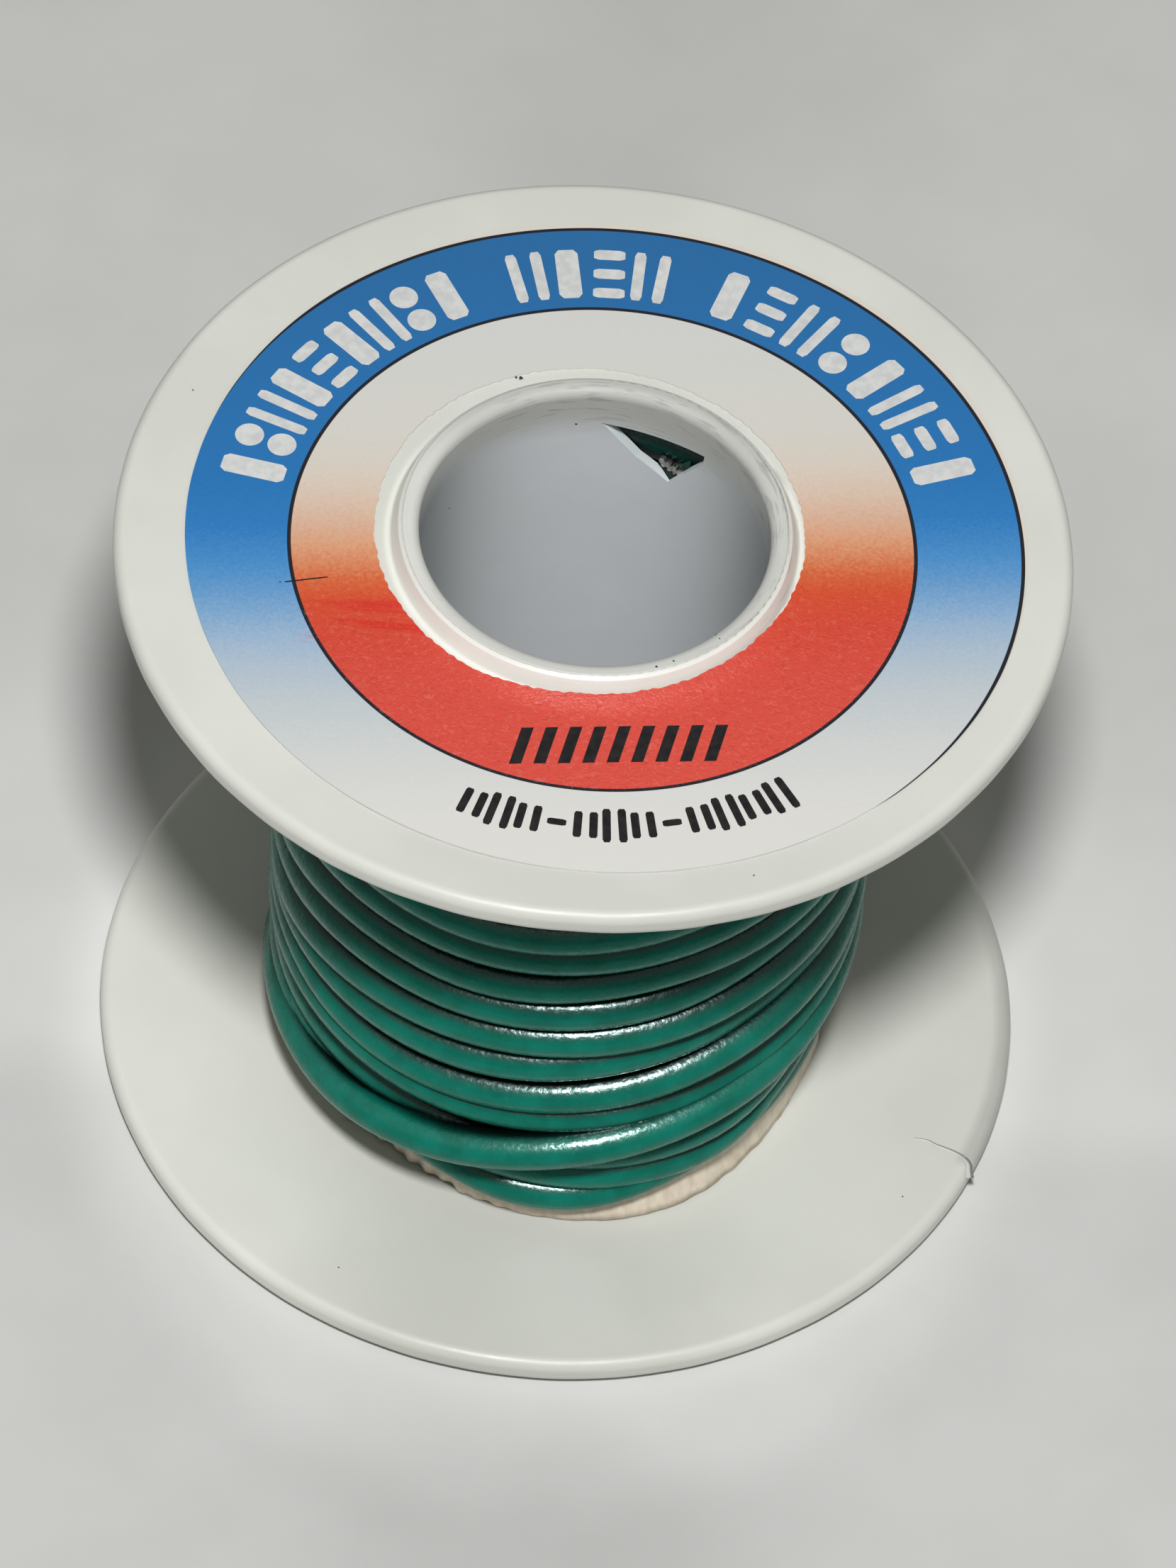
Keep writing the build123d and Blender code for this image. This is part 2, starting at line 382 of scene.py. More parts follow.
def label_material():
    """Printed film: a blue ring and a red ring that both fade out, between thin black lines."""
    s = Shader("label_paper")
    x, y = s.turned_axes(PRINT_CENTRE, PRINT_TURN)
    radius = s.length(x, y)
    dots = s.math("MULTIPLY", s.math("SUBTRACT", s.noise(5200, 1), 0.5), 2.2 * MM)
    faded = s.math("ADD", y, dots)
    blue = s.palette(faded, -18 * MM, 20 * MM, metres(BLUE_FADE))
    red = s.palette(faded, -16 * MM, 14 * MM, metres(RED_FADE))
    printed = s.blend(s.math("GREATER_THAN", radius, RING_LINES[0]), red, blue)
    printed = s.blend(s.math("GREATER_THAN", radius, RING_LINES[1]), printed, ink(216, 208, 196))
    # scuffs, drawn out along the print's own rows
    strokes = s.ramp(s.noise(900, 3, stretch=(0.12, 1.6, 1)), 0.46, 0.62)
    scuffed = s.math("MULTIPLY", s.near(x, -12.4 * MM, 3.2 * MM), strokes)
    spot = s.math("MULTIPLY", s.near(y, -4.9 * MM, 1.1 * MM), scuffed)
    printed = s.blend(s.math("MULTIPLY", spot, 0.8), printed, ink(205, 48, 34))
    for ring in RING_LINES:
        printed = s.blend(s.near(radius, ring, 0.085 * MM), printed, (0.012, 0.013, 0.02))
    # the film's grain shows where the red is solid, and hardly on the white
    worms = s.noise(3500, 2, distortion=1.1)
    strong = s.ramp(y, -6 * MM, 1 * MM, 1.0, 0.0)
    solid = s.math("MULTIPLY", s.math("LESS_THAN", radius, RING_LINES[0]), strong)
    tint = s.math("MULTIPLY", s.ramp(worms, 0.56, 0.72, 0.0, 0.06), solid)
    printed = s.blend(tint, printed, (0.85, 0.75, 0.72))
    shade = s.math("MULTIPLY", s.ramp(worms, 0.28, 0.44, 0.20, 0.0), solid)
    printed = s.blend(shade, printed, (0.20, 0.03, 0.03))
    raised = s.math("MULTIPLY", worms, s.math("ADD", 0.12, s.math("MULTIPLY", solid, 0.88)))
    s.set(Base_Color=printed, Roughness=s.ramp(worms, 0.3, 0.7, 0.42, 0.5),
          Normal=s.bump(raised, 0.00008, 0.8))
    s.bsdf.inputs["IOR"].default_value = FILM_IOR
    return s.material


def ink_material(name, dark, light, roughness):
    """Solid print on the label, slightly uneven where it lies on the film's grain."""
    s = Shader(name)
    grain = s.noise(1900, 3)
    s.set(Base_Color=s.blend(s.ramp(grain, 0.3, 0.7), dark, light), Roughness=roughness,
          Normal=s.bump(grain, 0.00003, 0.4))
    return s.material


def tape_material():
    """Cream paper tape with fibres and fine upright creases."""
    s = Shader("tape_paper")
    fibres = s.noise(1800, 3, stretch=(1, 1, 0.35))
    colour = s.blend(s.ramp(fibres, 0.3, 0.7), ink(212, 198, 178), ink(232, 220, 202))
    stain = s.ramp(s.noise(300, 3), 0.5, 0.8, 0.0, 0.5)
    s.set(Base_Color=s.blend(stain, colour, ink(206, 190, 166)), Roughness=0.62,
          Normal=s.bump(fibres, 0.00008, 0.25))
    return s.material


def strand_material():
    """Tinned copper, a little dulled, with fine draw marks."""
    s = Shader("tinned_strands")
    marks = s.noise(5000, 2, stretch=(1, 1, 0.2))
    s.set(Base_Color=s.blend(marks, (0.62, 0.61, 0.58), (0.86, 0.86, 0.84)), Metallic=1.0,
          Roughness=s.ramp(marks, 0.3, 0.7, 0.34, 0.46), Normal=s.bump(marks, 0.00001, 0.4))
    return s.material


def dirt_and_shade_material(name, dark, light):
    """Dull grey with a fine grain: grime on the specks, painted shadow along the crack."""
    s = Shader(name)
    grain = s.noise(3000, 2)
    s.set(Base_Color=s.blend(grain, dark, light), Roughness=0.6, Normal=s.bump(grain, 0.00002, 0.5))
    return s.material


def floor_material():
    """Pale table. Its tone drifts a little from place to place, and painted light brightens it close round
    the spool.
    """
    s = Shader("floor")
    x, y, _ = s.axes()
    colour = s.blend(s.ramp(s.noise(90, 5), 0.3, 0.7), (0.568, 0.568, 0.553), (0.602, 0.602, 0.587))
    away = s.length(x, s.math("MULTIPLY", y, 0.8))
    across = s.ramp(s.math("ABSOLUTE", s.math("SUBTRACT", x, 1 * MM)), 0.0, 21 * MM, 1.0, 0.0)
    front = s.ramp(y, -33 * MM, -25.5 * MM, 0.16, 0.0)
    back = s.ramp(y, 18 * MM, 28 * MM, 0.0, 0.1)
    middle = s.math("SUBTRACT", 1.0, s.math("MULTIPLY", across, s.math("ADD", front, back)))
    # painted light: a bright glow on the floor close round the spool, at its sides and at its rim
    band = s.math("MULTIPLY", s.ramp(y, -9 * MM, -3 * MM), s.ramp(y, 12 * MM, 30 * MM, 1.0, 0.0))
    near = s.math("ADD", 1.0, s.math("MULTIPLY", band, s.ramp(away, 30 * MM, 46 * MM, 0.14, 0.03)))
    rim = s.ramp(away, 25 * MM, 29 * MM, 1.1, 1.0)
    far = s.ramp(y, 18 * MM, 60 * MM, 1.0, 1.07)
    all_floor = s.math("MULTIPLY", s.math("MULTIPLY", middle, near), s.math("MULTIPLY", far, rim))
    factor = s.math("MULTIPLY", all_floor, s.ramp(y, -50 * MM, -10 * MM, 0.955, 1.0))
    s.set(Base_Color=s.blend(1.0, colour, factor, "MULTIPLY"), Roughness=0.8)
    return s.material


PLASTIC_LOW, PLASTIC_HIGH = (0.645, 0.65, 0.60), (0.685, 0.69, 0.64)
TOP_PLASTIC = plastic_material("top_plastic", PLASTIC_LOW, PLASTIC_HIGH, 0.3, top_tone).material
BOTTOM_PLASTIC = plastic_material("bottom_plastic", PLASTIC_LOW, PLASTIC_HIGH, 0.3, bottom_tone).material
TUBE = tube_material()
WIRE = wire_material()
LABEL = label_material()
TAPE = tape_material()
STRANDS = strand_material()
WHITE_INK = ink_material("white_ink", ink(196, 198, 198), ink(212, 213, 211), 0.42)
BLACK_INK = ink_material("black_ink", (0.009, 0.008, 0.009), (0.02, 0.016, 0.017), 0.38)
# These three keep their shapes from the frame and only take a material
KEPT_NODES = (("core_tube", TUBE), ("start_end_strands", STRANDS), ("finish_end_strands", STRANDS))
for name, material in KEPT_NODES:
    nodes[name].data.materials.clear()
    nodes[name].data.materials.append(material)


# ---------------------------------------------------------------- the wire, one length

# Sizes here are in millimetres. Azimuths run on from turn to turn, clockwise seen from above.
WIRE_R = 1.125
INNER_R, MIDDLE_R, OUTER_R = 11.365, 13.314, 15.263
LOWEST, HIGHEST = 2.875, 38.4
INNER_TURNS, MIDDLE_TURNS = 13, 15
KNOTS_PER_TURN = 4
HIDDEN_STEP, OUTER_STEP = 22.5, 15
# The free end: where it leaves the winding, and control points at these distances along it
TAIL_AZIMUTH, TAIL_POINTS = 150, (0.5, 4, 8.5, 13)

# From the cut end in the tube's window, out and down, once round past the window, then to the winding
START = ((67.8, 10.25, 36.9), (66.5, 10.75, 36.45), (62, 11.2, 35.8), (54, 11.365, 35.2),
         (40, 11.365, 34.85), (-90, 11.365, 35.2), (-269, 11.365, 36.95), (-306, 11.365, 36.95),
         (-400, 11.365, 38.6), (-480, 12.6, 36.0), (-560, 11.365, 32.5))
# The first knots, at the window, are control points themselves
AT_WINDOW = 4

# Outer layer, turn by turn: heights at these azimuths, then how far the turn is pressed in on the right
OUTER_AT = (-20, -45, -68, -100, -135, -158)
PRESSED_AT = (0.5, 1, 0.3, 0, 0, 0)
OUTER_TURNS = (
    (38.6, 38.3, 37.6, 36.9, 36.9, 36.9, 0), (36.2, 35.9, 35.2, 34.5, 34.4, 34.4, 0),
    (33.8, 33.4, 32.7, 32.0, 31.8, 31.6, 0), (31.3, 31.0, 30.2, 29.4, 29.3, 29.2, 0),
    (28.9, 28.6, 27.6, 26.5, 26.7, 26.8, 0), (27.0, 26.4, 25.7, 24.8, 24.75, 24.3, 0),
    (24.3, 23.7, 23.5, 22.2, 22.35, 21.0, 0), (21.75, 21.3, 20.7, 20.0, 19.8, 18.7, 0.5),
    (19.8, 19.2, 18.3, 17.7, 17.1, 15.9, 0), (17.1, 16.15, 16.3, 15.35, 15.1, 15.1, 0.95),
    (15.3, 14.7, 13.6, 12.6, 12.6, 13.4, 0), (12.9, 11.4, 11.3, 11.0, 11.35, 11.7, 0.45))

# The last turns, which lie loose over the lowest part: azimuth on from the last regular turn, radius and
# height
LOOSE = (
    (-240, 15.4, 11.6), (-300, 15.3, 11.2), (-375, 14.4, 10.2),
    # first, which sinks between its neighbours on the right
    (-390, 14.4, 9.3), (-397, 14.9, 9.2), (-403, 15.1, 8.25), (-412, 15.1, 7.85), (-421, 15.1, 7.65),
    (-433, 14.95, 7.2), (-444, 14.85, 7.35), (-465, 14.8, 8.0), (-500, 14.8, 8.6), (-560, 15.1, 9.0),
    (-640, 15.2, 9.0), (-735, 14.2, 8.0),
    # second
    (-752, 14.3, 7.0), (-757, 14.4, 6.7), (-762, 14.5, 6.0), (-767, 14.7, 5.6), (-777, 15.0, 5.65),
    (-788, 15.15, 5.75), (-800, 15.1, 5.75), (-813, 14.9, 6.0), (-830, 14.85, 6.6), (-860, 14.8, 7.2),
    (-930, 15.1, 7.0), (-1010, 14.7, 6.2), (-1080, 14.0, 5.4),
    # third, the lowest at the front
    (-1118, 14.0, 4.9), (-1137, 14.5, 4.9), (-1147, 15.1, 5.0), (-1152, 15.2, 4.5), (-1160, 15.3, 4.13),
    (-1174, 15.15, 3.95), (-1190, 14.95, 5.1), (-1205, 14.7, 6.0), (-1240, 15.0, 7.2), (-1290, 15.3, 9.0),
    (-1360, 15.4, 11.0), (-1440, 15.3, 12.2),
    # last, which bulges out over the others from front to left
    (-1456, 15.3, 11.8), (-1466, 15.35, 11.3), (-1476, 15.4, 10.8), (-1488, 15.65, 10.65),
    (-1500, 15.9, 10.35), (-1512, 16.2, 10.2), (-1524, 16.4, 9.6), (-1533, 16.5, 9.2), (-1545, 16.5, 8.5),
    (-1556, 16.5, 7.8), (-1566, 16.3, 7.3), (-1578, 16.0, 6.7), (-1590, 15.75, 6.3), (-1610, 15.45, 6.2),
    (-1630, 15.3, 4.9), (-1650, 15.263, 2.875))


def even_turns(knots, turns, radius, height):
    """Adds a layer's regular turns, up or down to height, after the last knot."""
    azimuth, start_radius, start_height = knots[-1]
    steps = KNOTS_PER_TURN * turns
    for step in range(1, steps + 1):
        # the first knot is still on its way to the layer's radius
        at_radius = radius if step > 1 else mix(start_radius, radius, 0.8)
        knot_azimuth = azimuth - 360 / KNOTS_PER_TURN * step
        knots.append((knot_azimuth, at_radius, mix(start_height, height, step / steps)))


def winding_knots():
    """The whole wire's (azimuth, radius, height) knots, and the azimuth where its outer layer starts."""
    knots = list(START)
    even_turns(knots, INNER_TURNS, INNER_R, LOWEST)
    even_turns(knots, MIDDLE_TURNS, MIDDLE_R, HIGHEST)
    ahead = 360 * math.floor(knots[-1][0] / 360)
    for turn, row in enumerate(OUTER_TURNS):
        for azimuth, share, height in zip(OUTER_AT, PRESSED_AT, row):
            knots.append((ahead - 360 * turn + azimuth, OUTER_R - share * row[-1], height))
    last = ahead - 360 * (len(OUTER_TURNS) - 1)
    return knots + [(last + azimuth, radius, height) for azimuth, radius, height in LOOSE], ahead


def slope_at(before, here, after, column):
    """Slope of the line through three knots at the middle one, weighted for their uneven spacing."""
    back, on = here[0] - before[0], after[0] - here[0]
    slope_back = (here[column] - before[column]) / back if back else 0
    slope_on = (after[column] - here[column]) / on if on else 0
    if not back or not on:
        return slope_back + slope_on
    return (slope_back * on + slope_on * back) / (back + on)


def between(knots, place, azimuth):
    """Radius and height at azimuth, on the smooth curve in the span that starts at knots[place]."""
    before, here = knots[max(place - 1, 0)], knots[place]
    after, beyond = knots[place + 1], knots[min(place + 2, len(knots) - 1)]
    span = after[0] - here[0]
    t = (azimuth - here[0]) / span
    found = []
    for column in (1, 2):
        out_slope = slope_at(before, here, after, column) * span
        in_slope = slope_at(here, after, beyond, column) * span
        found.append(here[column] * (2 * t**3 - 3 * t**2 + 1) + out_slope * (t**3 - 2 * t**2 + t)
                     + after[column] * (3 * t**2 - 2 * t**3) + in_slope * (t**3 - t**2))
    return found


def wire_points():
    """Control points, 16 to a turn in the hidden layers and 24 to a turn in the outer one.

    A control point stands outside the arc that its spline follows, by 1 over the cosine of half a step.
    """
    knots, outer_start = winding_knots()
    points = [polar(radius, azimuth, height) for azimuth, radius, height in START[:AT_WINDOW]]
    azimuth, place = START[AT_WINDOW][0], AT_WINDOW
    while azimuth > knots[-1][0]:
        while knots[place + 1][0] >= azimuth and place < len(knots) - 2:
            place += 1
        step = HIDDEN_STEP if azimuth > outer_start else OUTER_STEP
        radius, height = between(knots, place, azimuth)
        points.append(polar(radius / math.cos(math.radians(step / 2)), azimuth, height))
        azimuth -= step
    end = polar(OUTER_R, TAIL_AZIMUTH, LOWEST)
    away = polar(1, TAIL_AZIMUTH - 90)
    return points + [end + away * distance for distance in TAIL_POINTS]


def green_wire():
    """The whole wire as one round cord."""
    curve = bpy.data.curves.new("green_wire", "CURVE")
    curve.dimensions = "3D"
    curve.bevel_depth = WIRE_R * MM
    curve.bevel_resolution = 7
    curve.resolution_u = 4
    curve.use_fill_caps = True
    points = wire_points()
    spline = curve.splines.new("NURBS")
    spline.points.add(len(points) - 1)
    for place, point in zip(spline.points, points):
        place.co = (*(point * MM), 1)
    spline.order_u = 3
    spline.use_endpoint_u = True
    curve.materials.append(WIRE)
    wire = bpy.data.objects.new("green_wire", curve)
    bpy.context.scene.collection.objects.link(wire)
    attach(wire, "root")
    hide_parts("wire_layer_inner", "wire_layer_middle", "wire_layer_outer", "wire_loose_turns",
                "wire_finish_tail")


green_wire()


# ---------------------------------------------------------------- flanges

FLANGE_R, TUBE_OUTER_R = 25.4, 10.24
GAP_LOW, GAP_HIGH, LABEL_FACE_Z, BOSS_Z = 1.75, 39.8, 41.3, 42.24
# Corners of each flange's section as (radius, height, edge radius). The boss leans in a little on the tube.
TOP_SECTION = ((TUBE_OUTER_R, GAP_HIGH, 0.02), (FLANGE_R, GAP_HIGH, 0.5), (FLANGE_R, LABEL_FACE_Z, 0.6),
               (10.8, LABEL_FACE_Z, 0.2), (10.42, BOSS_Z, 0.1), (TUBE_OUTER_R - 0.04, BOSS_Z + 0.15, 0.01))
BOTTOM_SECTION = ((TUBE_OUTER_R, 0, 0.02), (11.1, 0, 0.06), (11.4, 0.25, 0.06), (FLANGE_R, 0.25, 0.5),
                  (FLANGE_R, GAP_LOW, 0.6), (TUBE_OUTER_R, GAP_LOW, 0.02))
FLANGE_COLUMNS = 360


def corner_arc(before, corner, after, radius, steps=7):
    """Points of a round corner between two straight edges of a profile."""
    corner = Vector(corner)
    back, on = (Vector(before) - corner).normalized(), (Vector(after) - corner).normalized()
    half = back.angle(on) / 2
    reach = radius / math.tan(half)
    middle = corner + (back + on).normalized() * radius / math.sin(half)
    start, end = corner + back * reach, corner + on * reach
    out = []
    for step in range(steps + 1):
        spoke = (start - middle).lerp(end - middle, step / steps)
        out.append(tuple(middle + spoke.normalized() * radius))
    return out


def profile_points(corners):
    """Closed (radius, height) profile with its corners rounded and a point close to each end of a flat."""
    out = []
    for number, (radius, height, edge) in enumerate(corners):
        before, after = corners[number - 1], corners[(number + 1) % len(corners)]
        arc = corner_arc(before[:2], (radius, height), after[:2], edge)
        for near, far in ((arc[0], before), (arc[-1], after)):
            along_flat = (Vector(far[:2]) - Vector(near)).normalized()
            support = Vector(near) + along_flat * min(0.12, edge)
            arc = [tuple(support)] + arc if near == arc[0] else arc + [tuple(support)]
        out += arc
    return out


def ring_faces(columns, rows, closed=True):
    """Faces between columns of points set round the axis; closed joins the last row to the first."""
    faces = []
    for column in range(columns):
        here, there = column * rows, (column + 1) % columns * rows
        for row in range(rows if closed else rows - 1):
            above = (row + 1) % rows
            faces.append((here + row, there + row, there + above, here + above))
    return faces


def edit_mesh(piece, change):
    """Runs change on the piece's mesh, opened for editing."""
    work = bmesh.new()
    work.from_mesh(piece.data)
    change(work)
    work.to_mesh(piece.data)
    work.free()


def face_up(piece):
    """Turns every face of a flat mesh to look up."""
    def turn_over(work):
        work.normal_update()
        bmesh.ops.reverse_faces(work, faces=[face for face in work.faces if face.normal.z < 0])
    edit_mesh(piece, turn_over)


def face_outward(piece):
    """Turns every face of a closed mesh to look outward."""
    edit_mesh(piece, lambda work: bmesh.ops.recalc_face_normals(work, faces=work.faces))


def mark_sharp(piece, degrees):
    """Keeps hard edges hard where faces meet at more than this angle."""
    def sharpen(work):
        for edge in work.edges:
            if len(edge.link_faces) == 2 and edge.calc_face_angle(0) > math.radians(degrees):
                edge.smooth = False
    edit_mesh(piece, sharpen)


def turned_piece(name, corners, material, shift):
    """A closed ring of plastic turned about Z, whose points shift a little by shift(azimuth, radius)."""
    profile = profile_points(corners)
    vertices = []
    for column in range(FLANGE_COLUMNS):
        azimuth = 360 * column / FLANGE_COLUMNS
        for radius, height in profile:
            out, up = shift(azimuth, radius)
            vertices.append(polar((radius + out) * MM, azimuth, (height + up) * MM))
    piece = new_piece(name, vertices, ring_faces(FLANGE_COLUMNS, len(profile)), material, "spool_plastic")
    face_outward(piece)
    return piece


def rim_share(radius):
    """0 near the tube, 1 at a flange's rim."""
    return ease((radius - 12) / 13)


def moulded(azimuth, radius):
    """Slight waviness of a moulded disc, least at the tube."""
    share = rim_share(radius)
    return 0.035 * share * wobble(azimuth, 1.0), 0.03 * share * wobble(azimuth, 4.0)


def moulded_flat(azimuth, radius):
    """The same out of round, but flat, because this disc lies on the table."""
    return 0.035 * rim_share(radius) * wobble(azimuth, 2.5), 0


def flanges():
    top = turned_piece("flange_top", TOP_SECTION, TOP_PLASTIC, moulded)
    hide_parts("top_flange")
    bottom = turned_piece("flange_bottom", BOTTOM_SECTION, BOTTOM_PLASTIC, moulded_flat)
    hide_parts("bottom_flange")


# Crack in the bottom flange's upper face, in x and y, from its fine end out to the rim
CRACK = ((20.35, -7.84), (21.10, -7.91), (21.58, -8.15), (22.62, -8.53), (23.23, -8.91), (23.52, -9.32),
         (23.58, -9.80), (23.66, -10.28))
# Dirt on the moulding: azimuth, radius, height, lean of its face inward from level, size
SPECKS = ((-67.8, 10.01, 42.45, 0, 0.075), (-62.1, 9.94, 42.45, 0, 0.06), (-45.2, 9.87, 42.44, 5, 0.06),
          (-44.5, 9.46, 42.26, 45, 0.05), (-43.1, 10.29, 42.25, 0, 0.06), (99.3, 9.29, 39.81, 90, 0.075),
          (148, 9.29, 37.0, 90, 0.05), (113.5, 11.66, 41.43, 0, 0.11), (114.6, 11.78, 41.42, 0, 0.07),
          (196.5, 16.95, 41.415, 0, 0.05), (-31, 23.2, 1.765, 0, 0.05), (-118, 22.6, 1.765, 0, 0.05),
          (-66, 23.7, 41.315, 0, 0.05), (160, 23.4, 41.315, 0, 0.05))
SPECK_CORNERS, SPECK_DOME = 9, 0.03
# How far a ridge's edges sink into the flange
RIDGE_SINK = 0.02


def ribbon(name, path, offset, widths, rise, material):
    """A low ridge along a path on the bottom flange, offset to its left and widening along it."""
    vertices, faces = [], []
    for number, (x, y) in enumerate(path):
        before, after = path[max(number - 1, 0)], path[min(number + 1, len(path) - 1)]
        on = Vector((after[0] - before[0], after[1] - before[1], 0)).normalized()
        side = Vector((-on.y, on.x, 0))
        share = number / (len(path) - 1)
        half = mix(*widths, share) / 2
        middle = Vector((x, y, GAP_LOW)) + side * offset * (0.3 + 0.7 * share)
        for across, up in ((-1, -RIDGE_SINK), (-0.4, rise), (0.4, rise), (1, -RIDGE_SINK)):
            vertices.append((middle + side * half * across + Vector((0, 0, up))) * MM)
        if number:
            first = 4 * number - 4
            faces += [(first + k, first + k + 1, first + k + 5, first + k + 4) for k in range(3)]
    piece = new_piece(name, vertices, faces, material, "spool_plastic")
    face_up(piece)


def smooth_path(points, steps=5):
    """The path with more points, curved through the given ones."""
    out = []
    for number in range(len(points) - 1):
        before, here = Vector(points[max(number - 1, 0)]), Vector(points[number])
        after, beyond = Vector(points[number + 1]), Vector(points[min(number + 2, len(points) - 1)])
        for step in range(steps):
            t = step / steps
            cube = 3 * (here - after) + beyond - before
            square = 2 * before - 5 * here + 4 * after - beyond
            out.append(here + 0.5 * t * (after - before + t * (square + t * cube)))
    return out + [Vector(points[-1])]


def specks(material):
    """Small uneven flakes of dirt, each a low dome."""
    vertices, faces = [], []
    for number, (azimuth, radius, height, lean, size) in enumerate(SPECKS):
        turn = Matrix.Rotation(math.radians(azimuth), 3, "Z") @ Matrix.Rotation(math.radians(-lean), 3, "Y")
        middle = polar(radius, azimuth, height)
        first = len(vertices)
        vertices.append((middle + turn @ Vector((0, 0, SPECK_DOME))) * MM)
        for corner in range(SPECK_CORNERS):
            reach = size * (1 + 0.3 * math.sin(2.3 * corner + number))
            vertices.append((middle + turn @ polar(reach, 360 / SPECK_CORNERS * corner)) * MM)
            faces.append((first, first + 1 + corner, first + 1 + (corner + 1) % SPECK_CORNERS))
    new_piece("dirt_specks", vertices, faces, material, "spool_plastic")


flanges()
crack = [tuple(point) for point in smooth_path(CRACK)]
# painted shadow: a dark grey ribbon along the crack, under its raised lip
CRACK_GREY = dirt_and_shade_material("crack", (0.13, 0.13, 0.13), (0.26, 0.26, 0.25))
ribbon("crack_shadow", crack, 0.0, (0.04, 0.22), 0.008, CRACK_GREY)
ribbon("crack_lip", crack, -0.2, (0.08, 0.3), 0.045, BOTTOM_PLASTIC)
specks(dirt_and_shade_material("dirt", (0.015, 0.012, 0.010), (0.05, 0.04, 0.035)))


# ---------------------------------------------------------------- label and its print

LABEL_CENTRE, LABEL_R = (0.65, -0.1), 22.25
HOLE_CENTRE, HOLE_R = (-0.3, 0.45), 11.4
LABEL_T = 0.1
# The film's own thickness, with a fine gap of glue under it
FILM_T = LABEL_T - 0.01
LABEL_COLUMNS, LABEL_ROWS = 720, 16
# How far the hole's edge rides up on the boss at most, and (azimuth, share of that lift)
EDGE_LIFT = 0.42
LIFTED = ((-130, 0.15), (-100, 1.0), (-60, 0.9), (-20, 0.55), (20, 0.0), (180, 0.0))


def label_top(x, y):
    """Height of the label's upper side, which lifts on the boss at the front of its hole."""
    radius, azimuth = math.hypot(x, y), math.degrees(math.atan2(y, x))
    lift = EDGE_LIFT * along(LIFTED, azimuth) * ease((12.2 - radius) / 1.5)
    return LABEL_FACE_Z + LABEL_T + lift + 0.012 * wobble(azimuth, 0.4) * ease((radius - 12) / 8)


def hole_edge(azimuth):
    """Radius of the torn edge of the label's hole about its centre."""
    tooth = math.sin(math.radians(azimuth * 113)) * math.sin(math.radians(azimuth * 17 + 30))
    tooth += 0.8 * math.sin(math.radians(azimuth * 61 + 40)) * math.sin(math.radians(azimuth * 23))
    return HOLE_R + 0.032 * tooth + 0.09 * wobble(azimuth, 7.0)


def label():
    """The label as a thin closed ring, with more rows of points near its hole than at its rim."""
    vertices = []
    for column in range(LABEL_COLUMNS):
        azimuth = 360 * column / LABEL_COLUMNS
        inner = polar(hole_edge(azimuth), azimuth) + Vector((*HOLE_CENTRE, 0))
        outer = polar(LABEL_R + 0.02 * wobble(azimuth, 3.0), azimuth) + Vector((*LABEL_CENTRE, 0))
        ring = []
        for row in range(LABEL_ROWS):
            spot = inner.lerp(outer, (row / (LABEL_ROWS - 1)) ** 1.6)
            ring.append(Vector((spot.x, spot.y, label_top(spot.x, spot.y))))
        under = [point - Vector((0, 0, FILM_T)) for point in reversed(ring)]
        vertices += [point * MM for point in ring + under]
    faces = ring_faces(LABEL_COLUMNS, 2 * LABEL_ROWS)
    piece = new_piece("label_printed", vertices, faces, LABEL, "label_paper")
    face_outward(piece)
    mark_sharp(piece, 40)
    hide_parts("paper_label")


class Print:
    """Flat printed shapes on the label, gathered into one thin mesh just above its film."""

    HEIGHT = 0.012

    def __init__(self):
        self.vertices, self.faces = [], []

    def spot(self, x, y):
        """A point given on the print's own axes, carried onto the label."""
        turn = math.radians(PRINT_TURN)
        across = x * math.cos(turn) - y * math.sin(turn) + PRINT_CENTRE[0] / MM
        up = x * math.sin(turn) + y * math.cos(turn) + PRINT_CENTRE[1] / MM
        return Vector((across, up, label_top(across, up) + self.HEIGHT)) * MM

    def grid(self, across, up, place):
        """A patch of across by up squares, each corner put by place(u, v) with u and v from 0 to 1."""
        first = len(self.vertices)
        for row in range(up + 1):
            for column in range(across + 1):
                self.vertices.append(self.spot(*place(column / across, row / up)))
        for row in range(up):
            for column in range(across):
                corner = first + row * (across + 1) + column
                self.faces.append((corner, corner + 1, corner + across + 2, corner + across + 1))

    def arc_bar(self, azimuth, radius, width, height):
        """A bar with slightly rounded ends, that stands along a radius."""
        rounded = 0.16 * width / height

        def place(u, v):
            end = abs(2 * v - 1)
            narrow = 1 - 0.35 * max(0, (end - (1 - rounded)) / rounded) ** 2
            offset = (u - 0.5) * width * narrow
            at = polar(radius + (v - 0.5) * height, azimuth)
            side = polar(1, azimuth - 90)
            return at.x + side.x * offset, at.y + side.y * offset
        self.grid(4, 12, place)

    def disc(self, azimuth, radius, size):
        middle = polar(radius, azimuth)
        self.grid(24, 3, lambda u, v: (middle.x + size / 2 * v * math.cos(2 * math.pi * u),
                                       middle.y + size / 2 * v * math.sin(2 * math.pi * u)))

    def slanted(self, x, y, width, height, slant):
        """An upright stroke whose top is shifted to the right by slant."""
        self.grid(3, 4, lambda u, v: (x + (u - 0.5) * width + (v - 0.5) * slant, y + (v - 0.5) * height))

    def finish(self, name, material):
        piece = new_piece(name, self.vertices, self.faces, material, "label_paper")
        face_up(piece)


# Plain marks in groups round the blue ring, as (first, last azimuth, kinds of mark). b is a bar, p a pair
# of thin bars, s a stack of three short bars and d two dots.
MARK_GROUPS = ((109.5, 166, "bdpbsbpdb"), (75.5, 102, "pbsp"), (11, 69, "bspdbpsb"))
MARK_R, MARK_HEIGHT = 19.05, 3.45
# A row of slanted strokes on the red ring: how many, where the first stands and the step between them
ROW_COUNT, ROW_START, ROW_STEP = 9, (-5.07, -13.5), 1.27
